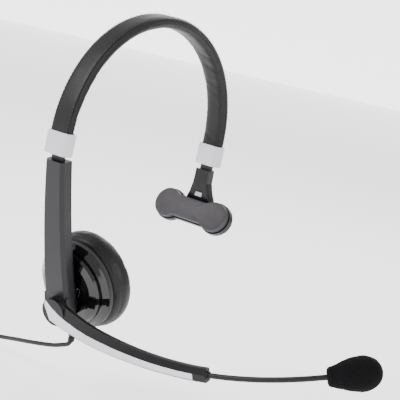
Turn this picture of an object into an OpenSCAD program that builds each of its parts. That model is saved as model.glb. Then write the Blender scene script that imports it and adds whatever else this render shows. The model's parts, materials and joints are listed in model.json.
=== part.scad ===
// Single-sided office headset with a leatherette headband, a swinging
// microphone boom, a round ear cup and a T-shaped temple pad.
// The origin is the underside of the headband at the crown. +X points to the
// temple pad, -Y to the wearer's front and +Z up.

/* [Headband] */
// Mid-line radius of the crown
crown_r = 72; // [68:0.5:76]
// Half angle of the crown arc, in degrees
crown_half = 33; // [28:1:40]
// Mid-line radius of the sides
side_r = 66.5; // [64:0.5:68]
// Width of the band, front to back
band_w = 14; // [13:0.5:16]
// Thickness of the padded band
band_t = 7; // [6:0.5:8]
// Length of each collar
collar_len = 12.5; // [11:0.5:14]

/* [Ear side] */
// Gap between the ear collar and the ear arm
ear_gap = 3; // [2.8:0.1:4]
// Slide travel that opens the ear arm further
ear_travel = 20; // [16:1:20]
// Lean of the ear slide from the vertical, in degrees
slide_lean = 14; // [13:0.5:15]
// Thickness of the ear arm
arm_t = 8; // [7.5:0.1:8.2]
// Width of the ear arm at its top
arm_w_top = 13; // [12:0.5:14]
// Width of the ear arm at its foot
arm_w_foot = 17; // [16:0.5:18]
// Lean of the ear cup axis from the horizontal, in degrees
cup_lean = 19.5; // [18:0.5:21]

/* [Ear cup] */
// Outer diameter of the ear cushion
cushion_d = 57; // [55:0.5:58]
// Thickness of the ear cushion
cushion_t = 15; // [13:0.5:16]
// Opening through the ear cushion
cushion_hole_d = 24; // [20:1:26]
// Outer diameter of the cup housing
housing_d = 52; // [51:0.5:53]

/* [Microphone boom] */
// Angle of the boom below the forward direction, in degrees
boom_dip = 18; // [14:1:20]
// Length of the rigid boom from its pivot
boom_len = 102; // [98:1:106]
// Height of the rigid boom at its outer end
boom_h = 7.6; // [7:0.2:8]
// Length of the flexible gooseneck
gooseneck_len = 65; // [60:1:68]
// Diameter of the gooseneck
gooseneck_d = 3; // [2.8:0.1:3.2]
// Length of the foam windscreen
screen_len = 29; // [27:0.5:31]
// Largest diameter of the foam windscreen
screen_d = 19; // [18:0.5:20]

/* [Temple side] */
// Gap between the temple collar and the temple arm
temple_gap = 3; // [2.8:0.1:4]
// Slide travel that opens the temple arm further
temple_travel = 10; // [8:1:11]
// Length of the temple pad, front to back
pad_len = 55; // [52:1:58]
// Diameter of the temple pad's round ends
pad_end_d = 20; // [18:0.5:21]
// Height of the temple pad's waist
pad_waist = 15; // [13:0.5:16]
// Lean of the temple pad from the vertical, in degrees
pad_lean = 20; // [18:0.5:22]

/* [Cord] */
// Diameter of the cord
cord_d = 2.6; // [2.5:0.1:2.8]
// Mean diameter of the coiled length
coil_d = 30; // [28:1:31]
// Turns side by side in the coil
coil_wide = 5; // [4:1:5]
// Layers of turns in the coil
coil_high = 4; // [3:1:5]

/* [Hidden] */
$fn = 96;

// Running clearance between pieces that slide or turn
clear = 0.3;

// Headband arcs: the side arcs end upright, level with their own centres
crown_z = band_t / 2 - crown_r;
side_x = (crown_r - side_r) * sin(crown_half);
side_z = crown_z + (crown_r - side_r) * cos(crown_half);
band_x = side_x + side_r;
band_tail = 4;
joint_angle = 0.02;
spring_t = 0.8;
spring_w = 9;
collar_wall = 0.7;
collar_top_z = side_z - 1;
collar_end_z = collar_top_z - collar_len;
tongue_t = 2;
tongue_w = 8;
ear_tongue_len = ear_gap + ear_travel + 8;
temple_tongue_len = temple_gap + temple_travel + 6.5;

// Centre of the cushion's widest circle
cup_x = -21.7;
cup_z = -148.8;

// Levels along the cup axis, counted outward from the cushion's widest circle
cushion_back = 6;
plate_back = 8;
housing_back = 16;
arm_in = 18;
arm_out = arm_in + arm_t;
hub_in = arm_out + clear;
hub_out = hub_in + 5.2;
tilt_y = 2;
tilt_z = 14.5;
pivot_x = 3;
pivot_y = -7.5;
hub_r = 8;
hub_floor = hub_in + 2.6;
axle_r = 2.5;
axle_head_r = 4;
knuckle_w = 7;
knuckle_r = 2.2;
pin_r = 1;
lug_x = knuckle_w / 2 + clear;
lug_w = 3;
well_r = 9;
well_floor = 12;
band_level = housing_back - 3.8;
cup_screw_ring = 16.6;

// Parts of the loudspeaker
driver_r = 13;
magnet_r = 8;
coil_r = 5;

// Boom: its root turns flat on the arm, then bows upward and leans inward
hub_mid = (hub_in + hub_out) / 2;
hub_half = (hub_out - hub_in) / 2;
boom_split = -1.2;
boom_steps = 16;
boom_bow_r = 213;
drop_start = 24;
drop_angle = 6.6;
inlay_t = 0.7;
ferrule_r = 2.2;
neck_bow_r = 116;
neck_angle = gooseneck_len / neck_bow_r * 180 / PI;
mic_r = 3.3;

// Temple pad
pad_face_x = 60;
pad_face_z = -105;
pad_foam_t = 5.5;
pad_back = 11;

// Cord: its route runs from the strain relief down to the coil
gland_at = [-25.2, -1, -185];
gland_neck = 7;
gland_r = 2.4;
floor_z = -212;
tie_t = 1;
tie_w = 8;
coil_at = [56, 185];
plug_body_len = 28;
cord_route = [
    [-25.2, -1, -185], [-25.2, 1, -187.5], [-25, 5.5, -189.4], [-24.5, 11, -191.4], [-23.5, 19, -193.5],
    [-22, 30, -196], [-20, 39, -198], [-18, 48, -200], [-15, 61, -203], [-12, 80, -206.5],
    [-7, 100, -209.5], [0, 120, -210.7], [6, 140, -210.7], [12, 158, -210.7], [19, 172, -210.4],
    [26, 181.5, -210], [34.5, 185, -209.7]
];
tail_route = [
    [56, 206.5, -209.7], [55, 211, -209.2], [51, 215, -208.5], [45, 216, -208], [38, 216, -208], [30, 216, -208]
];

// Fasteners, notches and small details
screw_r = 1;
screw_head_r = 1.9;
arm_screw_x = -4.5;
arm_screw_y = [-3.5, -11.5];
rivet_r = 1;
notches = 6;
notch_pitch = 2.5;
notch_r = 0.4;
trim_steps = 5;

// ---- Helpers -------------------------------------------------------------

function arc(cx, cy, r, from, to, steps) =
    [for (i = [0:steps]) let (a = from + (to - from) * i / steps) [cx + r * cos(a), cy + r * sin(a)]];

function rounded_box(w, h, r, steps = 4) = concat(
    arc(w / 2 - r, h / 2 - r, r, 0, 90, steps),
    arc(-w / 2 + r, h / 2 - r, r, 90, 180, steps),
    arc(-w / 2 + r, -h / 2 + r, r, 180, 270, steps),
    arc(w / 2 - r, -h / 2 + r, r, 270, 360, steps)
);

function unit(v) = v / norm(v);

function bezier(p, t) =
    pow(1 - t, 3) * p[0] + 3 * t * pow(1 - t, 2) * p[1] + 3 * t * t * (1 - t) * p[2] + pow(t, 3) * p[3];

function path_dir(path, i) = unit(path[min(i + 1, len(path) - 1)] - path[max(i - 1, 0)]);

// A solid through equal rings of points, closed at both ends
module loft(rings) {
    n = len(rings);
    m = len(rings[0]);
    polyhedron(
        points = [for (ring = rings) for (p = ring) p],
        faces = concat(
            [[for (j = [m - 1:-1:0]) j]],
            [for (i = [0:n - 2]) for (j = [0:m - 1])
                [i * m + j, (i + 1) * m + (j + 1) % m, (i + 1) * m + j]],
            [for (i = [0:n - 2]) for (j = [0:m - 1])
                [i * m + j, i * m + (j + 1) % m, (i + 1) * m + (j + 1) % m]],
            [[for (j = [0:m - 1]) (n - 1) * m + j]]
        ),
        convexity = 6
    );
}

// Rings round a path in 3-D: section x lies across, section y follows "up"
function rings_along(path, up, sections) = [
    for (i = [0:len(path) - 1])
        let (t = path_dir(path, i), side = unit(cross(t, up)), top = cross(side, t))
            [for (s = sections[i]) path[i] + side * s[0] + top * s[1]]
];

// The same round tube all along a path
module tube_along(path, d, sides, up) {
    ring = [for (j = [0:sides - 1]) [d / 2 * cos(360 * j / sides), d / 2 * sin(360 * j / sides)]];
    loft(rings_along(path, up, [for (p = path) ring]));
}

module arc_sweep(radius, from, to)
    rotate([90, 0, 0])
        rotate([0, 0, from])
            rotate_extrude(angle = to - from)
                translate([radius, 0])
                    children();

// Sweep a section over the headband: x outward from the mid-line, y across
module along_band(tail) {
    translate([0, 0, crown_z])
        arc_sweep(crown_r, 90 - crown_half + joint_angle, 90 + crown_half - joint_angle)
            children();
    translate([side_x, 0, side_z])
        arc_sweep(side_r, 0, 90 - crown_half)
            children();
    translate([-side_x, 0, side_z])
        arc_sweep(side_r, 90 + crown_half, 180)
            children();
    for (side = [0, 1])
        mirror([side, 0, 0])
            translate([band_x, 0, side_z - tail])
                linear_extrude(tail)
                    children();
}

// Section of the band between two depths, with its far corners rounded
module band_section(depth, corner, side)
    difference() {
        polygon(concat(
            arc(side * (depth - corner), band_w / 2 - corner, corner, side > 0 ? 0 : 180, 90, 4),
            [[0, band_w / 2], [0, -band_w / 2]],
            arc(side * (depth - corner), -band_w / 2 + corner, corner, side > 0 ? -90 : 270, side > 0 ? 0 : 180, 4)
        ));
        square([spring_t, spring_w], center = true);
    }

module mirrored_side(temple)
    mirror([temple ? 1 : 0, 0, 0])
        children();

// Frame at the foot of a collar: -Z runs down the slide
module slide_frame(lean)
    translate([-band_x + 0.5, 0, collar_end_z])
        rotate([0, -lean, 0])
            children();

// Frame of the cup: x forward, y up the arm, z outward
module cup_frame()
    translate([cup_x, 0, cup_z])
        rotate([0, -cup_lean, 0])
            rotate([90, 0, -90])
                children();

function cup_point(x, y, z) = [
    cup_x - y * sin(cup_lean) - z * cos(cup_lean),
    -x,
    cup_z + y * cos(cup_lean) - z * sin(cup_lean)
];

// ---- Headband ------------------------------------------------------------

module band_spring()
    color("silver")
        difference() {
            along_band(collar_len - 5)
                square([spring_t, spring_w], center = true);
            rivets(true);
            mirrored_side(true)
                rivets(true);
        }

module band_cover()
    color("#29282b")
        along_band(band_tail)
            band_section(band_t / 2, 1.2, 1);

module band_cushion()
    color("#1f1e21")
        along_band(band_tail)
            band_section(band_t / 2, 2, -1);

module collar()
    translate([-band_x, 0, collar_end_z])
        linear_extrude(collar_len)
            difference() {
                polygon(rounded_box(band_t + 2 * collar_wall, band_w + 2 * collar_wall, 2));
                polygon(rounded_box(band_t, band_w, 1.2));
            }

module ear_collar()
    color("#dcdae0")
        collar();

module temple_collar()
    color("#dcdae0")
        mirrored_side(true)
            collar();

// Slider strip whose top sits inside the collar's lower half
module tongue_blank(lean, length)
    slide_frame(lean)
        translate([-tongue_t / 2, -tongue_w / 2, -length])
            cube([tongue_t, tongue_w, length + 5]);

module end_block(lean)
    difference() {
        translate([-band_x, 0, collar_end_z])
            linear_extrude(collar_len + 1 - band_tail)
                polygon(rounded_box(band_t, band_w, 1.2));
        translate([-band_x - spring_t / 2, -spring_w / 2, collar_end_z + 6])
            cube([spring_t, spring_w, collar_len]);
        tongue_blank(lean, 1);
        rivets(true);
    }

module ear_end_block()
    color("#2b2b2e")
        end_block(slide_lean);

module temple_end_block()
    color("#2b2b2e")
        mirrored_side(true)
            end_block(0);

// Two cross rivets: one holds the spring, the other holds the tongue
module rivets(hole)
    for (z = [2.4, 7.8])
        translate([-band_x, 0, collar_end_z + z])
            rotate([0, 90, 0])
                cylinder(r = rivet_r, h = hole ? band_t + 2 : band_t - 1, center = true);

module tongue(lean, length)
    difference() {
        tongue_blank(lean, length);
        rivets(true);
        slide_frame(lean)
            for (i = [0:notches - 1])
                translate([tongue_t / 2, 0, -length + 4 + i * notch_pitch])
                    rotate([90, 0, 0])
                        cylinder(r = notch_r, h = tongue_w + 2, center = true);
    }

module ear_tongue()
    color("#1d1d1f")
        tongue(slide_lean, ear_tongue_len);

module temple_tongue()
    color("#1d1d1f")
        mirrored_side(true)
            tongue(0, temple_tongue_len);

module ear_rivets()
    color("silver")
        rivets(false);

module temple_rivets()
    color("silver")
        mirrored_side(true)
            rivets(false);

// ---- Ear arm -------------------------------------------------------------

slide_top = [-band_x + 0.5, 0, collar_end_z];
slide_down = [sin(slide_lean), 0, -cos(slide_lean)];
arm_mid = (arm_in + arm_out) / 2;
arm_split = -arm_t / 2 + 1.4;
foot_split = arm_in + 1.35;
foot_seam = 0.3;
seat = 0.04;
foot_top_y = -2;
arm_foot = cup_point(0, foot_top_y, arm_mid);
arm_head = slide_top + slide_down * ear_gap;
arm_curve = [
    arm_foot,
    arm_foot + 24 * [-sin(cup_lean + 6), 0, cos(cup_lean + 6)],
    arm_head + 28 * slide_down,
    arm_head
];
arm_steps = 20;
arm_path = [for (i = [0:arm_steps]) bezier(arm_curve, i / arm_steps)];
outward = [-1, 0, 0];

function arm_half(i) = (arm_w_foot + (arm_w_top - arm_w_foot) * i / arm_steps) / 2;

// Section of the arm between two depths, with bevelled outer edges
function arm_section(half, low, high, bevel_x, bevel_y) = [
    [-half, low], [half, low], [half, high - bevel_y], [half - bevel_x, high],
    [-half + bevel_x, high], [-half, high - bevel_y]
];

module arm_loft(from, to, low, high, wall, bevel_x, bevel_y)
    loft(rings_along(
        [for (i = [from:to]) arm_path[i]], outward,
        [for (i = [from:to]) arm_section(arm_half(i) - wall, low, high, bevel_x, bevel_y)]
    ));

module foot_outline(r)
    union() {
        translate([0, pivot_y])
            circle(r = r);
        translate([-r, pivot_y])
            square([2 * r, foot_top_y - pivot_y + 2]);
    }

module arm_screw_holes(r)
    for (y = arm_screw_y)
        translate([arm_screw_x, y, 0])
            cylinder(r = r, h = arm_out - 1.5);

module arm_shell()
    color("#45434a")
        difference() {
            union() {
                arm_loft(0, arm_steps, arm_split, arm_t / 2, 0, 1.6, 2.4);
                cup_frame()
                    translate([0, 0, foot_split + foot_seam])
                        linear_extrude(arm_out - foot_split - foot_seam)
                            foot_outline(arm_w_foot / 2 - seat);
            }
            arm_loft(3, arm_steps - 1, arm_split - 1, arm_t / 2 - 1.4, 1.4, 0.2, 0.2);
            slide_frame(slide_lean)
                translate([-tongue_t / 2 - clear, -tongue_w / 2 - clear, -ear_gap - 8])
                    cube([tongue_t + 2 * clear, tongue_w + 2 * clear, 12]);
            cup_frame() {
                translate([pivot_x, pivot_y, 0])
                    cylinder(r = axle_r, h = 40);
                arm_screw_holes(screw_r);
            }
        }

module arm_cover()
    color("#2d2c30")
        difference() {
            union() {
                arm_loft(0, arm_steps, -arm_t / 2, arm_split, 0, 0.1, 0.1);
                cup_frame() {
                    translate([0, 0, arm_in])
                        linear_extrude(foot_split - arm_in)
                            foot_outline(arm_w_foot / 2 - seat);
                    translate([-knuckle_w / 2, tilt_y - knuckle_r, tilt_z])
                        cube([knuckle_w, 2 * knuckle_r, arm_in - tilt_z + 0.5]);
                    translate([0, tilt_y, tilt_z])
                        rotate([0, 90, 0])
                            cylinder(r = knuckle_r, h = knuckle_w, center = true);
                }
            }
            cup_frame() {
                translate([0, tilt_y, tilt_z])
                    rotate([0, 90, 0])
                        cylinder(r = pin_r + 0.05, h = 40, center = true);
                translate([pivot_x, pivot_y, 0])
                    cylinder(r = axle_r, h = 40);
                arm_screw_holes(screw_r);
                for (y = arm_screw_y)
                    translate([arm_screw_x, y, 0])
                        cylinder(r = screw_head_r, h = arm_in + 0.8);
            }
        }

// Bright strip let along the arm's rear edge above the foot
module arm_trim()
    color("#dcdae0")
        loft(rings_along(
            [for (i = [0:trim_steps]) arm_path[i]], outward,
            [for (i = [0:trim_steps])
                [for (c = [[0, -0.5], [0, 0.4], [-0.5, 0.4], [-0.5, -0.5]]) [c[0] - arm_half(i), c[1] + 0.6]]]
        ));

// Bowed leaf spring that clicks into the tongue's notches
module detent(lean, gap)
    slide_frame(lean)
        translate([0, 0, -gap])
            rotate([90, 0, 0])
                linear_extrude(5, center = true)
                    polygon([
                        [2.5, -5], [2.1, -5], [tongue_t / 2 + 0.2, -10], [tongue_t / 2 + 0.2, -12],
                        [2.1, -17], [2.5, -17], [tongue_t / 2 + 0.6, -12], [tongue_t / 2 + 0.6, -10]
                    ]);

module ear_detent()
    color("silver")
        detent(slide_lean, ear_gap);

module screw(length, head_r, head_h)
    union() {
        cylinder(r = screw_r, h = length);
        difference() {
            translate([0, 0, -head_h])
                cylinder(r = head_r, h = head_h);
            translate([0, 0, -head_h - 1])
                cylinder(r = 0.9, h = 1.7, $fn = 6);
        }
    }

module arm_screws()
    color("silver")
        cup_frame()
            for (y = arm_screw_y)
                translate([arm_screw_x, y, arm_in + 0.8])
                    screw(5, screw_head_r - 0.1, 0.8);

// Shaft fixed in the arm's foot; the boom turns on it
module boom_axle()
    color("silver")
        cup_frame()
            translate([pivot_x, pivot_y, arm_in])
                difference() {
                    union() {
                        cylinder(r = axle_r, h = hub_floor - arm_in + 0.1);
                        translate([0, 0, hub_floor - arm_in + 0.1])
                            cylinder(r = axle_head_r, h = 0.9);
                    }
                    translate([0, 0, hub_floor - arm_in - 6])
                        cylinder(r = screw_r, h = 10);
                }

// ---- Ear cup -------------------------------------------------------------

housing_profile = [
    [0, housing_back - 2.2], [0, housing_back], [housing_d / 2 - 9.5, housing_back],
    [housing_d / 2 - 5.8, housing_back - 1.4], [housing_d / 2 - 4.6, housing_back - 2.6],
    [housing_d / 2 - 4.6, band_level], [housing_d / 2 - 7, band_level],
    [housing_d / 2 - 10.5, housing_back - 2.2]
];

// Stepped glossy dome with a well for the arm's knuckle
module cup_housing()
    color("#141316")
        cup_frame()
            difference() {
                union() {
                    rotate_extrude()
                        polygon(housing_profile);
                    translate([0, tilt_y, well_floor - 1])
                        cylinder(r = well_r + 1.4, h = housing_back - well_floor + 1);
                    cup_screw_places()
                        translate([0, 0, plate_back + 1])
                            cylinder(r = 2.2, h = housing_back - plate_back - 3.5);
                }
                difference() {
                    translate([0, tilt_y, well_floor])
                        cylinder(r = well_r, h = 20);
                    for (x = [-lug_x - lug_w, lug_x])
                        translate([x, tilt_y - knuckle_r, well_floor - 1])
                            cube([lug_w, 2 * knuckle_r, tilt_z - well_floor + 1 + 1.4]);
                }
                translate([0, tilt_y, tilt_z])
                    rotate([0, 90, 0])
                        cylinder(r = pin_r, h = 2 * (lug_x + lug_w), center = true);
                cup_screw_places()
                    cylinder(r = screw_r, h = plate_back + 5);
            }

module cup_screw_places()
    for (a = [90, 210, 330])
        rotate([0, 0, a])
            translate([cup_screw_ring, 0, 0])
                children();

// Ring below the dome, between the two grooves
module cup_band()
    color("#1b1a1d")
        difference() {
            cup_frame()
                rotate_extrude()
                    polygon([
                        [housing_d / 2 - 7, plate_back + 1], [housing_d / 2 - 0.2, plate_back + 1],
                        [housing_d / 2, plate_back + 1.6], [housing_d / 2 - 1.4, band_level - 1.6],
                        [housing_d / 2 - 3.2, band_level], [housing_d / 2 - 7, band_level]
                    ]);
            gland_frame()
                translate([0, 0, gland_neck])
                    cylinder(r = gland_r, h = 20);
        }

module cup_pivot_pin()
    color("silver")
        cup_frame()
            translate([0, tilt_y, tilt_z])
                rotate([0, 90, 0])
                    cylinder(r = pin_r, h = 2 * (lug_x + lug_w), center = true);

// Sound plate that carries the loudspeaker
module cup_baffle()
    color("#232326")
        cup_frame()
            translate([0, 0, plate_back])
                difference() {
                    cylinder(r = housing_d / 2 - 0.6, h = 1);
                    translate([0, 0, -1])
                        cylinder(r = driver_r, h = 3);
                    for (a = [0:30:330])
                        rotate([0, 0, a])
                            translate([21, 0, -1])
                                cylinder(r = 1, h = 3);
                    cup_screw_places()
                        translate([0, 0, -1])
                            cylinder(r = screw_r, h = 3);
                }

module cup_screws()
    color("silver")
        cup_frame()
            cup_screw_places()
                translate([0, 0, plate_back])
                    screw(4.5, screw_head_r, 0.8);

module driver_basket()
    color("#3a3a3d")
        cup_frame()
            rotate_extrude()
                polygon([
                    [driver_r - 0.8, plate_back - 1], [driver_r + 1.4, plate_back - 1],
                    [driver_r + 1.4, plate_back], [driver_r, plate_back], [driver_r, plate_back + 1.6],
                    [magnet_r, plate_back + 1.6], [magnet_r, plate_back + 1], [driver_r - 0.8, plate_back + 1]
                ]);

module driver_magnet()
    color("silver")
        cup_frame()
            translate([0, 0, plate_back + 0.2])
                difference() {
                    cylinder(r = magnet_r, h = 2.5);
                    translate([0, 0, -1])
                        difference() {
                            cylinder(r = coil_r + 0.5, h = 2.4);
                            cylinder(r = coil_r - 0.8, h = 2.4);
                        }
                }

module driver_coil()
    color("#b87333")
        cup_frame()
            translate([0, 0, plate_back - 1.05])
                difference() {
                    cylinder(r = coil_r + 0.2, h = 2.2);
                    translate([0, 0, -1])
                        cylinder(r = coil_r - 0.3, h = 5);
                }

module driver_diaphragm()
    color("#d8d2b8")
        cup_frame()
            translate([0, 0, plate_back - 1.25])
                cylinder(r = driver_r - 0.2, h = 0.2);

// Plate that the ear cushion's skirt is stretched over
module cushion_plate()
    color("#232326")
        cup_frame()
            difference() {
                translate([0, 0, cushion_back])
                    cylinder(r = housing_d / 2 - 0.5, h = plate_back - cushion_back);
                cylinder(r = driver_r + 1.6, h = 20);
                cup_screw_places()
                    cylinder(r = screw_head_r + 0.2, h = 20);
            }

module ear_cushion()
    color("#222124")
        cup_frame()
            rotate_extrude()
                translate([(cushion_d + cushion_hole_d) / 4, cushion_back - cushion_t / 2])
                    polygon(rounded_box((cushion_d - cushion_hole_d) / 2, cushion_t, 6, 8));

module speaker_cloth()
    color("#303034")
        cup_frame()
            translate([0, 0, cushion_back])
                cylinder(r = driver_r + 1.5, h = 0.6);

// ---- Microphone boom -----------------------------------------------------

// Frame of the boom's pivot: x along the boom's root, y up, z outward
module boom_frame()
    cup_frame()
        translate([pivot_x, pivot_y, 0])
            rotate([0, 0, -boom_dip])
                children();

function boom_drop(s) = max(0, s - drop_start) * tan(drop_angle);

function boom_point(s) = [
    boom_bow_r * sin(s / boom_bow_r * 180 / PI),
    boom_bow_r * (1 - cos(s / boom_bow_r * 180 / PI)),
    hub_mid - boom_drop(s)
];

function boom_half(s) = boom_h / 2 + 3.2 * pow(1 - max(0, s) / boom_len, 2);

function boom_stations(from, to) = [for (i = [0:boom_steps]) from + (to - from) * i / boom_steps];

function shell_section(h) = [
    [h, boom_split], [h, hub_half - 0.6], [h - 0.6, hub_half - seat],
    [-0.15 * h, hub_half - seat], [-h, 0.4], [-h, boom_split]
];

function cover_section(h) = [
    [h - 0.8, seat - hub_half], [h, 0.8 - hub_half], [h, boom_split],
    [-h, boom_split], [-h, 0.8 - hub_half], [0.8 - h, seat - hub_half]
];

function box_section(low, high, from, to) = [[high, from], [high, to], [low, to], [low, from]];

function inlay_top(s) = -0.5 - 0.0104 * pow(max(0, 11 - s), 2);

function inlay_foot(s) = s < 0 ? sqrt(pow(hub_r - 0.9, 2) - s * s) - 0.9 : boom_half(s) - 0.9;

// A piece along the boom, through one section at each station
module boom_loft(stations, sections)
    loft(rings_along([for (s = stations) boom_point(s)], [0, 0, 1], sections));

module inlay_body(raise)
    boom_loft(
        boom_stations(0.9 - hub_r, boom_len - 8),
        [for (s = boom_stations(0.9 - hub_r, boom_len - 8))
            box_section(inlay_top(s), inlay_foot(s), hub_half - inlay_t, hub_half + raise)]
    );

module boom_end_frame()
    translate(boom_point(boom_len))
        rotate([0, drop_angle, boom_len / boom_bow_r * 180 / PI])
            children();

module ferrule_body()
    boom_end_frame()
        translate([-6, 0, 0])
            rotate([0, 90, 0])
                cylinder(r = ferrule_r, h = 7);

module boom_shell()
    color("#1d1c20")
        boom_frame()
            difference() {
                union() {
                    boom_loft(
                        boom_stations(2, boom_len),
                        [for (s = boom_stations(2, boom_len)) shell_section(boom_half(s))]
                    );
                    translate([0, 0, hub_mid + boom_split + seat])
                        cylinder(r = hub_r, h = hub_half - boom_split - seat);
                }
                boom_loft(
                    boom_stations(13, boom_len - 10),
                    [for (s = boom_stations(13, boom_len - 10))
                        box_section(1.6 - boom_half(s), boom_half(s) - 1.4, boom_split - 1, -0.2)]
                );
                inlay_body(1);
                cylinder(r = axle_r + 0.05, h = 40);
                translate([0, 0, hub_floor])
                    cylinder(r = axle_head_r + 0.3, h = hub_half - inlay_t + 0.01);
                ferrule_body();
            }

module boom_cover()
    color("#1d1c20")
        boom_frame()
            difference() {
                union() {
                    boom_loft(
                        boom_stations(2, boom_len),
                        [for (s = boom_stations(2, boom_len)) cover_section(boom_half(s))]
                    );
                    translate([0, 0, hub_in])
                        cylinder(r = hub_r, h = boom_split + hub_half - seat);
                }
                cylinder(r = axle_r + 0.05, h = 40);
                ferrule_body();
            }

module boom_inlay()
    color("#d9d7dc")
        boom_frame()
            inlay_body(0.05);

// Screw in the axle's end that holds the boom on, hidden under the inlay
module axle_screw()
    color("silver")
        cup_frame()
            translate([pivot_x, pivot_y, hub_floor + 1])
                rotate([180, 0, 0])
                    screw(5, 2.6, 0.8);

module boom_ferrule()
    color("#1d1c20")
        boom_frame()
            difference() {
                ferrule_body();
                boom_end_frame()
                    translate([-4.1, 0, 0])
                        rotate([0, 90, 0])
                            cylinder(d = gooseneck_d + 0.2, h = 10);
            }

module gooseneck()
    color("#161618")
        boom_frame()
            boom_end_frame()
                translate([0, 0, -neck_bow_r])
                    arc_sweep(neck_bow_r, 90 - neck_angle, 92)
                        circle(d = gooseneck_d);

// Frame at the gooseneck's end: x toward the microphone's tip
module mic_frame()
    boom_frame()
        boom_end_frame()
            translate([neck_bow_r * sin(neck_angle), 0, -neck_bow_r * (1 - cos(neck_angle))])
                rotate([0, neck_angle, 0])
                    children();

module mic_holder()
    color("#202023")
        mic_frame()
            rotate([0, 90, 0])
                difference() {
                    cylinder(r = mic_r, h = 20);
                    translate([0, 0, 14])
                        cylinder(r = mic_r - 0.7, h = 10);
                }

module mic_capsule()
    color("silver")
        mic_frame()
            rotate([0, 90, 0])
                translate([0, 0, 14])
                    cylinder(r = mic_r - 0.7, h = 5);

// Foam cap: narrow at its mouth, widest near its rounded tip
module windscreen()
    color("#151517")
        mic_frame()
            rotate([0, 90, 0])
                difference() {
                    rotate_extrude()
                        polygon(concat(
                            [[0, 0.5], [4.6, 0.5], [5.4, 1.1]],
                            [for (a = [20:14:62]) [
                                5.2 + (screen_d / 2 - 5.2) * sin(a * 1.45), a / 90 * (screen_len - 8)
                            ]],
                            arc_cap(screen_d / 2, screen_len - 8.5, 8.5)
                        ));
                    cylinder(r = mic_r + 0.1, h = 21);
                }

function arc_cap(r, z, depth) = [for (a = [0:15:90]) [r * cos(a), z + depth * sin(a)]];

// ---- Temple side ---------------------------------------------------------

// Offsets of the temple stem's stations: outward, down, half width, back
temple_stations = [
    [0, 0, 4.8, 3.3], [0.3, 8, 5, 3.3], [1.1, 14, 6.6, 3.2],
    [2.3, 20, 9.5, 2.8], [2.1, 25, 9.5, 2.8], [0.1, 30, 7, 2.4]
];
temple_split = -1.6;
temple_top_z = collar_end_z - temple_gap;
temple_path = [for (t = temple_stations) [band_x + t[0], 0, temple_top_z - t[1]]];

// Frame of the temple pad: x backward, y up, z away from the head
module pad_frame()
    translate([pad_face_x, 0, pad_face_z])
        rotate([0, pad_lean, 0])
            rotate([90, 0, 90])
                children();

module bone(shrink)
    union() {
        for (side = [1, -1])
            translate([side * (pad_len - pad_end_d) / 2, 0])
                circle(d = pad_end_d - 2 * shrink);
        square([pad_len - pad_end_d, pad_waist - 2 * shrink], center = true);
    }

module temple_slot()
    mirrored_side(true)
        slide_frame(0)
            translate([-tongue_t / 2 - clear, -tongue_w / 2 - clear, -temple_gap - 20])
                cube([tongue_t + 2 * clear, tongue_w + 2 * clear, 24]);

module pad_clearance()
    pad_frame()
        linear_extrude(pad_back)
            bone(0);

module temple_shell()
    color("#3b393f")
        difference() {
            loft(rings_along(temple_path, [1, 0, 0], [for (t = temple_stations) [
                [-t[2], temple_split], [t[2], temple_split], [t[2], t[3] - 1.6],
                [t[2] - 1.4, t[3]], [1.4 - t[2], t[3]], [-t[2], t[3] - 1.6]
            ]]));
            temple_slot();
            pad_clearance();
            temple_screw_places()
                cylinder(r = screw_r, h = 20);
        }

module temple_cover()
    color("#232226")
        difference() {
            loft(rings_along(
                [for (i = [0:3]) temple_path[i]], [1, 0, 0],
                [for (i = [0:3]) let (h = temple_stations[i][2])
                    [[-h, temple_split - 2.6], [h, temple_split - 2.6], [h, temple_split], [-h, temple_split]]]
            ));
            temple_slot();
            pad_clearance();
            mirrored_side(true)
                slide_frame(0)
                    translate([0, -2.8, -temple_gap - 18])
                        cube([2.6, 5.6, 14]);
        }

module temple_detent()
    color("silver")
        mirrored_side(true)
            detent(0, temple_gap);

module temple_screw_places()
    pad_frame()
        for (side = [1, -1])
            translate([side * 5, 3, 0])
                children();

module temple_screws()
    color("silver")
        temple_screw_places()
            translate([0, 0, pad_foam_t + 0.8])
                screw(6, screw_head_r, 0.8);

module pad_plate()
    color("#19181b")
        difference() {
            pad_frame() {
                translate([0, 0, pad_foam_t])
                    linear_extrude(pad_back - pad_foam_t - 2)
                        bone(0);
                translate([0, 0, pad_back - 2])
                    linear_extrude(2)
                        bone(1);
            }
            temple_screw_places() {
                cylinder(r = screw_r, h = 20);
                cylinder(r = screw_head_r, h = pad_foam_t + 0.8);
            }
        }

module pad_foam()
    color("#57545b")
        pad_frame()
            linear_extrude(pad_foam_t)
                bone(0.8);

// ---- Cord ----------------------------------------------------------------

// Frame of the strain relief, upright below the cup: z up
module gland_frame()
    translate(gland_at)
        children();

module cord_gland()
    color("#1c1c1f")
        gland_frame()
            rotate_extrude()
                polygon([
                    [0, 0], [1.8, 0], [2, 2.2], [1.6, 2.4], [1.6, 2.9], [2.1, 3.1], [gland_r, 6],
                    [2.9, 6.2], [2.9, gland_neck], [gland_r, gland_neck], [gland_r, 13], [0, 13]
                ]);

// Straight chords between the route's points, rounded by Catmull-Rom arcs
function rounded_route(p, steps) = concat([for (i = [0:len(p) - 2]) for (k = [0:steps - 1])
    let (
        t = k / steps,
        a = p[max(i - 1, 0)], b = p[i], c = p[i + 1], d = p[min(i + 2, len(p) - 1)]
    )
    (2 * b + (c - a) * t + (2 * a - 5 * b + 4 * c - d) * t * t + (3 * b - a - 3 * c + d) * t * t * t) / 2
], [p[len(p) - 1]]);

module cord_tube()
    color("#2a2a2d") {
        tube_along(rounded_route(cord_route, 3), cord_d, 8, [1, 0, 0.3]);
        tube_along(rounded_route(tail_route, 2), cord_d, 8, [0, 0, 1]);
    }

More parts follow.
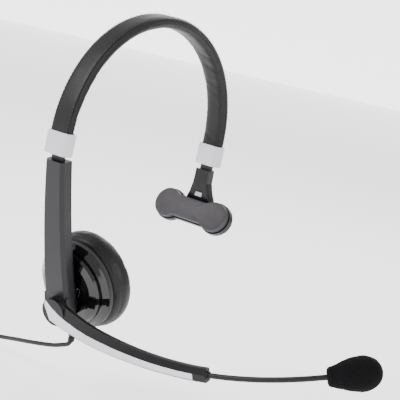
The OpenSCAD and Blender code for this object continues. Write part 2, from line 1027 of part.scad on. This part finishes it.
module cord_coil()
    color("#2a2a2d")
        translate([coil_at[0], coil_at[1], floor_z + tie_t])
            rotate_extrude()
                translate([(coil_d - coil_wide * cord_d) / 2, 0])
                    square([coil_wide * cord_d, coil_high * cord_d]);

// Strap wrapped once round the bundle of turns
module cord_tie()
    color("#111112")
        translate([coil_at[0] + coil_d / 2, coil_at[1], floor_z + tie_t + coil_high * cord_d / 2])
            rotate([90, 0, 0])
                linear_extrude(tie_w, center = true)
                    difference() {
                        square([coil_wide * cord_d + 2 * tie_t + 0.6, coil_high * cord_d + 2 * tie_t], center = true);
                        square([coil_wide * cord_d + 0.6, coil_high * cord_d], center = true);
                    }

module plug_frame()
    translate(tail_route[len(tail_route) - 1])
        rotate([0, -90, 0])
            children();

module plug_overmould()
    color("#1c1c1f")
        plug_frame()
            linear_extrude(plug_body_len)
                polygon(rounded_box(8, 15.4, 1.6));

module plug_shell()
    color("silver")
        plug_frame()
            translate([0, 0, plug_body_len])
                linear_extrude(18.75)
                    difference() {
                        square([4.5, 12], center = true);
                        square([3.9, 11.4], center = true);
                    }

module plug_tongue()
    color("#e8e8ea")
        plug_frame()
            translate([-1.95, -5.6, plug_body_len])
                cube([1.8, 11.2, 17.5]);

// ---- Drawing -------------------------------------------------------------

band_spring();
band_cover();
band_cushion();
ear_collar();
temple_collar();
ear_end_block();
temple_end_block();
ear_tongue();
temple_tongue();
ear_rivets();
temple_rivets();
arm_shell();
arm_cover();
arm_trim();
ear_detent();
arm_screws();
boom_axle();
cup_housing();
cup_band();
cup_pivot_pin();
cup_baffle();
cup_screws();
driver_basket();
driver_magnet();
driver_coil();
driver_diaphragm();
cushion_plate();
ear_cushion();
speaker_cloth();
boom_shell();
boom_cover();
boom_inlay();
axle_screw();
boom_ferrule();
gooseneck();
mic_holder();
mic_capsule();
windscreen();
temple_shell();
temple_cover();
temple_detent();
temple_screws();
pad_plate();
pad_foam();
cord_gland();
cord_tube();
cord_coil();
cord_tie();
plug_overmould();
plug_shell();
plug_tongue();
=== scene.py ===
import bpy
import json
import math
from mathutils import Matrix, Vector, noise


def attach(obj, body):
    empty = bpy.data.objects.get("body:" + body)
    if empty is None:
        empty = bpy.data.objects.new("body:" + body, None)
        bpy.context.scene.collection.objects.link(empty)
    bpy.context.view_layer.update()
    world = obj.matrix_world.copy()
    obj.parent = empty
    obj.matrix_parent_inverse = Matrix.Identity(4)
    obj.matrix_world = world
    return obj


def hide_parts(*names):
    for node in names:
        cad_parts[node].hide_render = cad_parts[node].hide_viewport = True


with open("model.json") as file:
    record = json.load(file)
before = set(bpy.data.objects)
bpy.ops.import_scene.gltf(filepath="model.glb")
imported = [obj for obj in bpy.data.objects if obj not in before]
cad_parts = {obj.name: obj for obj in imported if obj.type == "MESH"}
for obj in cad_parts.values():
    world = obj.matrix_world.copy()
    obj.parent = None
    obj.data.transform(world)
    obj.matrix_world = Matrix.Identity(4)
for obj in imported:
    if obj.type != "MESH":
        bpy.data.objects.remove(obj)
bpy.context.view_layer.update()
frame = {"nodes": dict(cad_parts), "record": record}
RECORD = frame["record"]
MM = 0.001

# ---- Camera: azimuth, elevation and roll round a point on the object ----
AIM = Vector((20.9, -34.4, -91.6)) * MM
AZIMUTH, ELEVATION, ROLL = math.radians(-55), math.radians(7.76), math.radians(13)
DISTANCE = 0.8719
LENS, SENSOR = 136.5, 36


def camera_axes():
    back = Vector((
        math.sin(AZIMUTH) * math.cos(ELEVATION), -math.cos(AZIMUTH) * math.cos(ELEVATION), math.sin(ELEVATION)
    ))
    level = Vector((math.cos(AZIMUTH), math.sin(AZIMUTH), 0))
    up = back.cross(level)
    right = level * math.cos(ROLL) + up * math.sin(ROLL)
    return right, back.cross(right), back


RIGHT, UP, BACK = camera_axes()
cam_data = bpy.data.cameras.new("camera")
cam_data.lens, cam_data.sensor_width = LENS, SENSOR
cam_data.clip_start, cam_data.clip_end = 0.05, 50
camera = bpy.data.objects.new("camera", cam_data)
bpy.context.scene.collection.objects.link(camera)
place = AIM + BACK * DISTANCE
camera.matrix_world = Matrix([
    [RIGHT[0], UP[0], BACK[0], place[0]],
    [RIGHT[1], UP[1], BACK[1], place[1]],
    [RIGHT[2], UP[2], BACK[2], place[2]],
    [0, 0, 0, 1],
])
bpy.context.scene.camera = camera


# ---- Shared helpers -----------------------------------------------------
def new_mesh(name, verts, faces, smooth=True):
    mesh = bpy.data.meshes.new(name)
    mesh.from_pydata([tuple(v) for v in verts], [], faces)
    mesh.polygons.foreach_set("use_smooth", [smooth] * len(mesh.polygons))
    mesh.update()
    obj = bpy.data.objects.new(name, mesh)
    bpy.context.scene.collection.objects.link(obj)
    return obj


def skin(name, rings, closed_path, caps=True, smooth=True):
    """A surface through equal closed rings of points, in metres."""
    n, m = len(rings), len(rings[0])
    verts = [p for ring in rings for p in ring]
    faces = []
    for i in range(n if closed_path else n - 1):
        for j in range(m):
            a, b = i * m, ((i + 1) % n) * m
            faces.append((a + j, a + (j + 1) % m, b + (j + 1) % m, b + j))
    if caps and not closed_path:
        faces.append(tuple(range(m - 1, -1, -1)))
        faces.append(tuple(range((n - 1) * m, n * m)))
    return new_mesh(name, verts, faces, smooth)


def wire(name, points, radius, closed=False, sides=10):
    """A round mesh thread along points, in metres."""
    n, rings = len(points), []
    side = Vector((0.31, 0.2, 0.93))
    for i, p in enumerate(points):
        ahead = points[(i + 1) % n] if closed else points[min(i + 1, n - 1)]
        behind = points[i - 1] if closed or i else points[0]
        along = (ahead - behind).normalized()
        side = (side - along * side.dot(along)).normalized()
        other = along.cross(side)
        turns = [2 * math.pi * j / sides for j in range(sides)]
        rings.append([p + (side * math.cos(a) + other * math.sin(a)) * radius for a in turns])
    return skin(name, rings, closed)


def rough(p, scale, seed=0.0):
    return noise.noise(Vector(p) * scale + Vector((seed, seed * 1.7, -seed)))


# ---- Cord: route, coil and tail, as laid in the CAD source -----------------
CORD_D = 2.6
COIL_AT, COIL_R, FLOOR_Z = (56, 185), 15, -212
ROUTE = [
    (-25.2, -1, -185), (-25.2, 1, -187.5), (-25, 5.5, -189.4), (-24.5, 11, -191.4), (-23.5, 19, -193.5),
    (-22, 30, -196), (-20, 39, -198), (-18, 48, -200), (-15, 61, -203), (-12, 80, -206.5),
    (-7, 100, -209.5), (0, 120, -210.7), (6, 140, -210.7), (12, 158, -210.7), (18, 168.5, -210.4),
    (24.5, 175.4, -210), (31, 177.8, -209.7), (36.2, 176, -209.7),
]
TAIL = [(50, 206.5, -202.4), (45, 209.4, -203.8), (40.5, 213, -205.8), (35.5, 215.6, -207.4), (30, 216, -208)]


def rounded(points, steps):
    made = []
    for i in range(len(points) - 1):
        a, b, c, d = (Vector(points[min(max(k, 0), len(points) - 1)]) for k in (i - 1, i, i + 1, i + 2))
        for k in range(steps):
            t = k / steps
            made.append((2 * b + (c - a) * t + (2 * a - 5 * b + 4 * c - d) * t ** 2
                         + (3 * b - a - 3 * c + d) * t ** 3) / 2)
    return made + [Vector(points[-1])]


def coil_points():
    """Turns side by side from the outermost in, then the next layer up from the inside out."""
    slots = []
    for layer in range(4):
        order = range(4, -1, -1) if layer % 2 == 0 else range(5)
        slots += [(COIL_R + (k - 2) * CORD_D, layer) for k in order]
    steps, start, end = 32, 222, 90
    total = 360 * len(slots) - (start - end)
    made = []
    for i in range(int(total / 360 * steps) + 1):
        turned = i * 360 / steps
        k = min(int(turned / 360), len(slots) - 1)
        share = max(0.0, (turned - 360 * k) / 360 - 0.8) / 0.2
        share = share * share * (3 - 2 * share)
        nxt = slots[min(k + 1, len(slots) - 1)]
        r = slots[k][0] + (nxt[0] - slots[k][0]) * share
        layer = slots[k][1] + (nxt[1] - slots[k][1]) * share
        a = math.radians(start + turned)
        z = FLOOR_Z + 1 + CORD_D / 2 + layer * CORD_D
        made.append(Vector((COIL_AT[0] + r * math.cos(a), COIL_AT[1] + r * math.sin(a), z)))
    return made


centreline = rounded(ROUTE, 6) + coil_points()
centreline += rounded([centreline[-1], *TAIL], 6)[1:]
centreline = [p * MM for p in centreline]
cord = wire("free_cord", centreline, CORD_D / 2 * MM)
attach(cord, "ear_cup")
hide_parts("cord_tube", "cord_coil")


# ---- Materials -------------------------------------------------------------
def material(name, colour, rough_low, rough_high, metallic=0.0, tint=0.15, tint_scale=60, grain=None,
             grain_scale=900, grain_strength=0.15, grain_depth=0.0001, edge=0.0, coat=0.0, sheen=0.0,
             scratch=0.0, anisotropic=0.0, specular=0.24):
    """A principled material with colour drift, roughness drift, a surface grain and worn edges."""
    mat = bpy.data.materials.new(name)
    mat.use_nodes = True
    nodes, links = mat.node_tree.nodes, mat.node_tree.links
    shader = nodes["Principled BSDF"]
    coords = nodes.new("ShaderNodeTexCoord")

    def noise_node(scale, detail=4, rough_value=0.6):
        n = nodes.new("ShaderNodeTexNoise")
        n.inputs["Scale"].default_value = scale
        n.inputs["Detail"].default_value = detail
        n.inputs["Roughness"].default_value = rough_value
        links.new(coords.outputs["Object"], n.inputs["Vector"])
        return n

    drift = noise_node(tint_scale)
    ramp = nodes.new("ShaderNodeValToRGB")
    ramp.color_ramp.elements[0].position, ramp.color_ramp.elements[1].position = 0.3, 0.7
    ramp.color_ramp.elements[0].color = [c * (1 - tint) for c in colour] + [1]
    ramp.color_ramp.elements[1].color = [min(1, c * (1 + tint)) for c in colour] + [1]
    links.new(drift.outputs["Fac"], ramp.inputs["Fac"])
    colour_out = ramp.outputs["Color"]
    bevel = nodes.new("ShaderNodeBevel")
    bevel.samples = 4
    bevel.inputs["Radius"].default_value = 0.00035
    if edge:
        geometry = nodes.new("ShaderNodeNewGeometry")
        dot = nodes.new("ShaderNodeVectorMath")
        dot.operation = "DOT_PRODUCT"
        links.new(bevel.outputs["Normal"], dot.inputs[0])
        links.new(geometry.outputs["True Normal"], dot.inputs[1])
        worn = nodes.new("ShaderNodeMapRange")
        worn.inputs["From Min"].default_value, worn.inputs["From Max"].default_value = 0.99, 0.82
        worn.inputs["To Min"].default_value, worn.inputs["To Max"].default_value = 0.0, edge
        links.new(dot.outputs["Value"], worn.inputs["Value"])
        mix = nodes.new("ShaderNodeMixRGB")
        mix.inputs["Color2"].default_value = [min(1, c * 2.2 + 0.03) for c in colour] + [1]
        links.new(worn.outputs["Result"], mix.inputs["Fac"])
        links.new(colour_out, mix.inputs["Color1"])
        colour_out = mix.outputs["Color"]
    links.new(colour_out, shader.inputs["Base Color"])
    smudge = noise_node(tint_scale * 0.7, 6, 0.7)
    spread = nodes.new("ShaderNodeMapRange")
    spread.inputs["From Min"].default_value, spread.inputs["From Max"].default_value = 0.3, 0.7
    spread.inputs["To Min"].default_value, spread.inputs["To Max"].default_value = rough_low, rough_high
    links.new(smudge.outputs["Fac"], spread.inputs["Value"])
    links.new(spread.outputs["Result"], shader.inputs["Roughness"])
    height = None
    if grain == "leather":
        cells = nodes.new("ShaderNodeTexVoronoi")
        cells.feature = "SMOOTH_F1"
        cells.inputs["Scale"].default_value = grain_scale
        cells.inputs["Smoothness"].default_value = 0.6
        warp = noise_node(grain_scale * 0.4, 3)
        offset = nodes.new("ShaderNodeVectorMath")
        offset.operation = "MULTIPLY_ADD"
        offset.inputs[1].default_value = (0.0016, 0.0016, 0.0016)
        links.new(warp.outputs["Color"], offset.inputs[0])
        links.new(coords.outputs["Object"], offset.inputs[2])
        links.new(offset.outputs["Vector"], cells.inputs["Vector"])
        height = cells.outputs["Distance"]
    elif grain == "foam":
        cells = nodes.new("ShaderNodeTexVoronoi")
        cells.inputs["Scale"].default_value = grain_scale
        links.new(coords.outputs["Object"], cells.inputs["Vector"])
        height = cells.outputs["Distance"]
    elif grain == "weave":
        waves = []
        for direction in ("X", "Z"):
            w = nodes.new("ShaderNodeTexWave")
            w.bands_direction = direction
            w.inputs["Scale"].default_value = grain_scale
            links.new(coords.outputs["Object"], w.inputs["Vector"])
            waves.append(w)
        both = nodes.new("ShaderNodeMath")
        both.operation = "MAXIMUM"
        links.new(waves[0].outputs["Fac"], both.inputs[0])
        links.new(waves[1].outputs["Fac"], both.inputs[1])
        height = both.outputs["Value"]
    elif grain == "fine":
        height = noise_node(grain_scale, 2).outputs["Fac"]
    normal_out = bevel.outputs["Normal"]
    if height is not None:
        bump = nodes.new("ShaderNodeBump")
        bump.inputs["Strength"].default_value = grain_strength
        bump.inputs["Distance"].default_value = grain_depth
        links.new(height, bump.inputs["Height"])
        links.new(normal_out, bump.inputs["Normal"])
        normal_out = bump.outputs["Normal"]
    if scratch:
        lines = noise_node(500, 2)
        stretch = nodes.new("ShaderNodeMapping")
        stretch.inputs["Scale"].default_value = (1, 12, 1)
        links.new(coords.outputs["Object"], stretch.inputs["Vector"])
        links.new(stretch.outputs["Vector"], lines.inputs["Vector"])
        fine = nodes.new("ShaderNodeBump")
        fine.inputs["Strength"].default_value = scratch
        fine.inputs["Distance"].default_value = 0.00003
        links.new(lines.outputs["Fac"], fine.inputs["Height"])
        links.new(normal_out, fine.inputs["Normal"])
        normal_out = fine.outputs["Normal"]
    links.new(normal_out, shader.inputs["Normal"])
    shader.inputs["Metallic"].default_value = metallic
    shader.inputs["Coat Weight"].default_value = coat
    shader.inputs["Coat Roughness"].default_value = 0.06
    shader.inputs["Sheen Weight"].default_value = sheen
    shader.inputs["Anisotropic"].default_value = anisotropic
    shader.inputs["Specular IOR Level"].default_value = specular
    return mat


LOOKS = {
    "leatherette": material("leatherette", (0.0055, 0.0053, 0.0062), 0.38, 0.52, grain="leather",
                            grain_scale=1300, grain_strength=0.5, grain_depth=0.00016, tint=0.25),
    "cushion_leatherette": material("cushion_leatherette", (0.0055, 0.0053, 0.006), 0.34, 0.48,
                                    grain="leather", grain_scale=1100, grain_strength=0.45, grain_depth=0.00016),
    "pad_skin": material("pad_skin", (0.04, 0.037, 0.042), 0.48, 0.6, grain="leather", grain_scale=1500,
                         grain_strength=0.3, grain_depth=0.0001),
    "satin_silver": material("satin_silver", (0.55, 0.54, 0.585), 0.24, 0.32, metallic=0.75, tint=0.03,
                             grain="fine", grain_scale=4000, grain_strength=0.06, edge=0.3, coat=0.2),
    "satin_charcoal": material("satin_charcoal", (0.0105, 0.0097, 0.0125), 0.36, 0.46, metallic=0.1,
                               tint=0.06, grain="fine", grain_scale=5000, grain_strength=0.08, edge=0.35, coat=0.1),
    "satin_black": material("satin_black", (0.004, 0.0038, 0.0046), 0.24, 0.34, tint=0.1, grain="fine",
                            grain_scale=3500, grain_strength=0.05, edge=0.5),
    "gloss_black": material("gloss_black", (0.0022, 0.002, 0.0026), 0.07, 0.12, tint=0.1, edge=0.4, coat=0.6,
                            grain="fine", grain_scale=120, grain_strength=0.02),
    "inner_plastic": material("inner_plastic", (0.025, 0.025, 0.028), 0.45, 0.6, grain="fine", edge=0.3),
    "slider_nylon": material("slider_nylon", (0.02, 0.02, 0.022), 0.35, 0.5, grain="fine", scratch=0.3,
                             edge=0.4),
    "steel": material("steel", (0.6, 0.6, 0.62), 0.22, 0.34, metallic=1.0, tint=0.05, scratch=0.3,
                      anisotropic=0.4, edge=0.3),
    "copper": material("copper", (0.7, 0.32, 0.16), 0.25, 0.35, metallic=1.0, scratch=0.4),
    "film": material("film", (0.6, 0.56, 0.42), 0.2, 0.3, grain="fine"),
    "speaker_fabric": material("speaker_fabric", (0.025, 0.025, 0.03), 0.75, 0.9, grain="weave",
                               grain_scale=420, grain_strength=0.7, grain_depth=0.0002, sheen=0.3),
    "foam": material("foam", (0.0035, 0.0035, 0.004), 0.85, 0.98, grain="foam", grain_scale=1700,
                     grain_strength=0.9, grain_depth=0.0004, specular=0.08),
    "gooseneck_rubber": material("gooseneck_rubber", (0.005, 0.005, 0.006), 0.4, 0.55, grain="fine",
                                 grain_scale=2500, grain_strength=0.15),
    "cord_jacket": material("cord_jacket", (0.012, 0.012, 0.013), 0.42, 0.55, grain="fine", grain_scale=2600,
                            grain_strength=0.12),
    "strap_fabric": material("strap_fabric", (0.012, 0.012, 0.013), 0.8, 0.95, grain="weave", grain_scale=300,
                             grain_strength=0.6, grain_depth=0.0002, sheen=0.3),
    "plug_plastic": material("plug_plastic", (0.02, 0.02, 0.022), 0.4, 0.5, grain="fine", edge=0.4),
    "plug_white": material("plug_white", (0.75, 0.75, 0.77), 0.35, 0.45, tint=0.03, grain="fine", edge=0.1),
    "thread": material("thread", (0.05, 0.05, 0.055), 0.6, 0.75, grain="weave", grain_scale=700,
                       grain_strength=0.5, sheen=0.2),
}


def paint(obj, name):
    obj.data.materials.clear()
    obj.data.materials.append(LOOKS[name])
    return obj


paint(cord, "cord_jacket")
for part in RECORD["subparts"]:
    node = frame["nodes"][part["node"]]
    if not node.material_slots:
        node.data.materials.append(None)
    for slot in node.material_slots:
        slot.link = "DATA"
        slot.material = LOOKS[part["material_slot"]]


# ---- Headband: cover and cushion as sewn leatherette ------------------------
# Its middle line is a crown arc between two tighter side arcs, each ending in a short straight tail.
CROWN_R, SIDE_R, CROWN_HALF, BAND_T, BAND_TAIL = 72.0, 66.5, 33.0, 7.0, 4
CROWN_Z = BAND_T / 2 - CROWN_R
SIDE_X = (CROWN_R - SIDE_R) * math.sin(math.radians(CROWN_HALF))
SIDE_Z = CROWN_Z + (CROWN_R - SIDE_R) * math.cos(math.radians(CROWN_HALF))
BAND_HALF_W = 6.95


def band_line(count):
    """Points and outward directions along the band's middle, from the ear side to the temple side."""
    drops = [-BAND_TAIL + BAND_TAIL * i / 3 for i in range(3)]
    made = [(Vector((-SIDE_X - SIDE_R, 0, SIDE_Z + drop)), Vector((-1, 0, 0))) for drop in drops]
    for i in range(count + 1):
        a = 180 - 180 * i / count
        r, cx, cz = SIDE_R, math.copysign(SIDE_X, math.cos(math.radians(a))), SIDE_Z
        if abs(a - 90) < CROWN_HALF:
            r, cx, cz = CROWN_R, 0, CROWN_Z
        out = Vector((math.cos(math.radians(a)), 0, math.sin(math.radians(a))))
        made.append((Vector((cx, 0, cz)) + out * r, out))
    for drop in reversed(drops):
        made.append((Vector((SIDE_X + SIDE_R, 0, SIDE_Z + drop)), Vector((1, 0, 0))))
    return made


LINE = band_line(300)
ALONG = [0.0]
for first, second in zip(LINE, LINE[1:]):
    ALONG.append(ALONG[-1] + (second[0] - first[0]).length)


def pad_section(half, depth, power, edge_lift, count):
    """A crowned section from one seam to the other: y across, x away from the middle."""
    made = []
    for j in range(count + 1):
        y = -half * math.cos(math.pi * j / count)
        made.append((y, depth * (1 - abs(y / half) ** power) ** 0.5 + edge_lift))
    return made


def band_skin(name, side, half, depth, power, wrinkle):
    section = pad_section(half, depth, power, 0.25, 26)
    rings = []
    for (middle, out), s in zip(LINE, ALONG):
        ring = []
        for y, x in section:
            edge = abs(y / half)
            gather = wrinkle * math.exp(-((1 - edge) / 0.22) ** 2) * (
                math.sin(s * 2.3 + 2.2 * rough((s * 0.12, y * 0.3, 1.0), 1.0, 3)) * 0.5
                + rough((s * 1.1, y * 0.4, side * 5.0), 1.0, 7))
            fold = rough((s * 0.16 + y * 0.09, y * 0.05, side * 2.0), 1.0, 11)
            crease = wrinkle * 1.5 * max(0, fold - 0.18)
            soft = 0.5 * wrinkle * rough((s * 0.05, y * 0.2, 4.0), 1.0, 5)
            x = max(0.05, x - abs(gather) * 0.9 - crease + soft)
            ring.append((middle + out * side * x + Vector((0, y, 0))) * MM)
        for y in (half * 0.92, 0, -half * 0.92):
            ring.append((middle + out * side * 0.02 + Vector((0, y, 0))) * MM)
        rings.append(ring)
    return skin(name, rings, False)


cover = paint(band_skin("headband_cover_skin", 1, BAND_HALF_W, 3.25, 7.0, 0.1), "leatherette")
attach(cover, "headband")
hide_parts("band_cover")
inner = paint(band_skin("headband_inner_pad", -1, BAND_HALF_W, 3.3, 3.2, 0.5), "cushion_leatherette")
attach(inner, "headband")
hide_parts("band_cushion")
for sign, word in ((-1, "front"), (1, "rear")):
    piping = [(middle + Vector((0, sign * 6.85, 0)) + out * 0.12) * MM for middle, out in LINE]
    seam = paint(wire("headband_piping_" + word, piping, 0.28 * MM), "leatherette")
    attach(seam, "headband")


def stitches(name, points, outs, pitch, length, radius, body):
    """Short thread loops one after another along a line."""
    verts, faces = [], []
    travelled, last = 0.0, points[0]
    for p, out in zip(points, outs):
        travelled += (p - last).length
        if travelled < pitch:
            last = p
            continue
        along = (p - last).normalized() if (p - last).length else Vector((0, 0, 1))
        across = along.cross(out).normalized()
        travelled, last = 0.0, p
        base = len(verts)
        for i in range(5):
            t = i / 4
            mid = p + along * (t - 0.5) * length + out * radius * (1.6 * math.sin(math.pi * t) - 0.4)
            for j in range(6):
                a = 2 * math.pi * j / 6
                verts.append(mid + (across * math.cos(a) + out * math.sin(a)) * radius)
        for i in range(4):
            for j in range(6):
                faces.append((base + i * 6 + j, base + i * 6 + (j + 1) % 6,
                              base + (i + 1) * 6 + (j + 1) % 6, base + (i + 1) * 6 + j))
    obj = paint(new_mesh(name, verts, faces), "thread")
    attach(obj, body)
    return obj


STITCH_PITCH, STITCH_LEN, THREAD_R = 1.9 * MM, 1.5 * MM, 0.1 * MM
STITCH_LEVEL, STITCH_Y = 3.42, 5.5
for sign, word in ((-1, "front"), (1, "rear")):
    line = [(middle + out * STITCH_LEVEL + Vector((0, sign * STITCH_Y, 0))) * MM for middle, out in LINE]
    stitches("headband_stitching_" + word, line, [out for _, out in LINE], STITCH_PITCH, STITCH_LEN,
             THREAD_R, "headband")


# ---- Frames of the cup, the boom's foam and the temple pad -----------------------
MOUNTS = {m["name"]: (Vector(m["pos_m"]), Vector(m["axis"]).normalized()) for m in RECORD["mounts"]}
ear_face, ear_in = MOUNTS["ear_seat"]
cup_out = -ear_in
cup_fwd = Vector((0, -1, 0))
cup_up = cup_out.cross(cup_fwd).normalized()


def cup_at(x, y, z):
    """A point in the cup's frame, in millimetres: z counts outward from the cushion's front face."""
    return ear_face + (cup_fwd * x + cup_up * y + cup_out * z) * MM


# ---- Ear cushion ----------------------------------------------------------------
CUSHION_R, HOLE_R, CUSHION_T = 28.5, 12.0, 15.0


def cushion_ring(a):
    """The cushion's section at one angle: a squared oval, drawn in and gathered at its two seams."""
    mid, half = (CUSHION_R + HOLE_R) / 2, (CUSHION_R - HOLE_R) / 2
    ring = []
    for j in range(72):
        t = 2 * math.pi * j / 72
        c, s = math.cos(t), math.sin(t)
        squared = 2.7
        swell = (abs(c) ** squared + abs(s) ** squared) ** (-1 / squared)
        r, z = mid + half * c * swell, CUSHION_T / 2 - CUSHION_T / 2 * s * swell
        past_full_turn = 2 * math.pi if t > math.pi else 0
        outer = math.exp(-((t - past_full_turn + 0.42) / 0.2) ** 2)
        inner_seam = math.exp(-((t - math.pi * 0.86) / 0.2) ** 2)
        ripple = math.sin(a * 96 + 3 * rough((math.cos(a) * 3, math.sin(a) * 3, 0), 1.0, 2))
        gather = 0.16 * (outer + inner_seam) * ripple
        crease = 0.5 * max(0, rough((math.cos(a) * 5, math.sin(a) * 5, t * 0.7), 1.0, 9) - 0.2)
        soft = 0.35 * rough((math.cos(a) * 1.6, math.sin(a) * 1.6, t), 1.0, 4)
        draw = 0.45 * outer + 0.35 * inner_seam + crease + abs(gather) - soft * 0.4 + 0.12
        r -= c * draw
        z += s * draw
        ring.append(cup_at(r * math.cos(a), r * math.sin(a), z))
    return ring


cushion = skin("ear_cushion_leatherette", [cushion_ring(2 * math.pi * i / 256) for i in range(256)], True)
paint(cushion, "cushion_leatherette")
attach(cushion, "ear_cup")
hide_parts("ear_cushion")
SEAM_R, SEAM_LEVEL, SEAM_THICK = 27.2, 11.4, 0.35
seam_angles = [2 * math.pi * i / 360 for i in range(360)]
seam_points = [cup_at(SEAM_R * math.cos(a), SEAM_R * math.sin(a), SEAM_LEVEL) for a in seam_angles]
cushion_seam = paint(wire("ear_cushion_seam", seam_points, SEAM_THICK * MM, closed=True), "cushion_leatherette")
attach(cushion_seam, "ear_cup")


# ---- Temple pad ---------------------------------------------------------------------
pad_at, pad_in = MOUNTS["temple_pad"]
pad_out = -pad_in
pad_along = Vector((0, 1, 0))
pad_up = pad_out.cross(pad_along).normalized()


def bone_edge(count, shrink):
    """Outline of the pad: two round ends joined by a straight waist."""
    made = []
    end_r, reach, waist = 10 - shrink, 17.5, 7.5 - shrink
    for i in range(count):
        t = 2 * math.pi * i / count
        x = (reach + end_r) * math.cos(t)
        near = abs(x) - reach
        if near > 0:
            h = math.sqrt(max(0.0, end_r ** 2 - near ** 2))
        else:
            h = max(waist, math.sqrt(max(0.0, end_r ** 2 - near ** 2)))
        made.append((x, math.copysign(h, math.sin(t)) if abs(math.sin(t)) > 1e-6 else 0.0))
    return made


def pad_rings():
    """Rings from the pad's back edge up its side, then in over its crowned face."""
    outline = bone_edge(160, 0.85)
    rings = []
    for k in range(26):
        t = k / 25
        if t < 0.36:
            scale, depth = 1.0, 5.4 - 3.4 * t / 0.36
        else:
            u = (t - 0.36) / 0.64
            scale = math.cos(u * math.pi / 2) ** 0.42 if u < 1 else 0.0
            depth = 2.0 - 1.95 * math.sin(u * math.pi / 2) ** 0.8
        ring = []
        for x, y in outline:
            px, py = x * max(scale, 0.004), y * max(scale, 0.004)
            soft = 0.22 * rough((px * 0.12, py * 0.2, 2.0), 1.0, 6) * min(1, t * 2)
            pinch = 0.25 * math.exp(-((t - 0.33) / 0.05) ** 2)
            ring.append(pad_at + (pad_along * (px - pinch * px / 27) + pad_up * (py - pinch * py / 10)
                                  + pad_out * (depth + abs(soft))) * MM)
        rings.append(ring)
    return rings


pad = paint(skin("temple_pad_skin", pad_rings(), False), "pad_skin")
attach(pad, "temple_arm")
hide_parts("pad_foam")

# ---- Foam windscreen ---------------------------------------------------------------------
tip, tip_dir = MOUNTS["microphone"]
side_a = tip_dir.orthogonal().normalized()
side_b = tip_dir.cross(side_a).normalized()
SCREEN_L, SCREEN_R = 29.0, 9.5


def screen_radius(t):
    """Radius along the cap: a thick lip, a slim neck, then a bulb that is widest near the tip."""
    if t < 0.07:
        return 4.4 + 1.2 * math.sin(t / 0.07 * math.pi / 2)
    u = (t - 0.07) / 0.93
    swell = 5.6 + (SCREEN_R - 5.6) * math.sin(min(1, u / 0.62) * math.pi / 2) ** 1.1
    if u > 0.62:
        swell = SCREEN_R * math.sqrt(max(0.0, 1 - ((u - 0.62) / 0.38) ** 2))
    return swell


screen_rings = []
for k in range(90):
    t = k / 89
    t = t if t < 0.9 else 0.9 + 0.1 * math.sin((t - 0.9) / 0.1 * math.pi / 2)
    ring = []
    for j in range(96):
        a = 2 * math.pi * j / 96
        r = max(0.05, screen_radius(t))
        centre = tip - tip_dir * (SCREEN_L * (1 - t) - 0.3 * (1 - t)) * MM
        d = side_a * math.cos(a) + side_b * math.sin(a)
        pore = 0.22 * abs(rough(centre / MM + d * r, 1.9, 8)) + 0.3 * rough(centre / MM + d * r, 0.25, 5)
        ring.append(centre + d * max(0.04, r - 0.12 - pore * min(1, r / 3)) * MM)
    screen_rings.append(ring)
screen = paint(skin("foam_windscreen", screen_rings, False), "foam")
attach(screen, "boom")
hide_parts("windscreen")

# ---- Stage: pale floor and soft studio lights -----------------------------------------
CORNERS = ((-1, -1), (1, -1), (1, 1), (-1, 1))
FLOOR_HALF, FLOOR_LEVEL = 6, FLOOR_Z * MM - 0.0005
floor = new_mesh("floor", [(FLOOR_HALF * x, FLOOR_HALF * y, FLOOR_LEVEL) for x, y in CORNERS], [(0, 1, 2, 3)])
floor_mat = bpy.data.materials.new("floor")
floor_mat.use_nodes = True
glow = floor_mat.node_tree.nodes["Principled BSDF"].inputs
glow["Base Color"].default_value = (0.95, 0.95, 0.95, 1)
glow["Roughness"].default_value = 0.9
floor.data.materials.append(floor_mat)
glow["Emission Color"].default_value = (1, 1, 1, 1)
glow["Emission Strength"].default_value = 0.9
WALL_HALF, WALL_AWAY = 3, 4
wall_at = AIM - BACK * WALL_AWAY
wall = new_mesh("backdrop", [wall_at + (RIGHT * x + UP * y) * WALL_HALF for x, y in CORNERS], [(0, 1, 2, 3)])
wall_mat = bpy.data.materials.new("backdrop")
wall_mat.use_nodes = True
shine = wall_mat.node_tree.nodes["Principled BSDF"].inputs
shine["Emission Color"].default_value = (1, 1, 1, 1)
shine["Emission Strength"].default_value = 2.3
wall.data.materials.append(wall_mat)

world = bpy.data.worlds.new("studio")
bpy.context.scene.world = world
world.use_nodes = True
world.node_tree.nodes["Background"].inputs["Color"].default_value = (1, 1, 1, 1)
world.node_tree.nodes["Background"].inputs["Strength"].default_value = 1.0


def softbox(name, direction, distance, width, height, power):
    """A rectangular studio light that faces the point the camera looks at."""
    data = bpy.data.lights.new(name, "AREA")
    data.shape, data.size, data.size_y, data.energy = "RECTANGLE", width, height, power
    obj = bpy.data.objects.new(name, data)
    bpy.context.scene.collection.objects.link(obj)
    obj.location = AIM + direction.normalized() * distance
    obj.rotation_mode = "QUATERNION"
    obj.rotation_quaternion = (-direction).to_track_quat("-Z", "Y")
    return obj


softbox("key", BACK * 0.6 + UP * 0.9 - RIGHT * 0.7, 1.2, 0.5, 0.7, 16)
softbox("fill", BACK * 0.8 + UP * 0.2 + RIGHT * 1.0, 1.3, 0.7, 0.7, 8)
softbox("rim", -BACK * 0.7 + UP * 0.8 + RIGHT * 0.5, 1.2, 0.5, 0.5, 8)

bpy.context.view_layer.update()
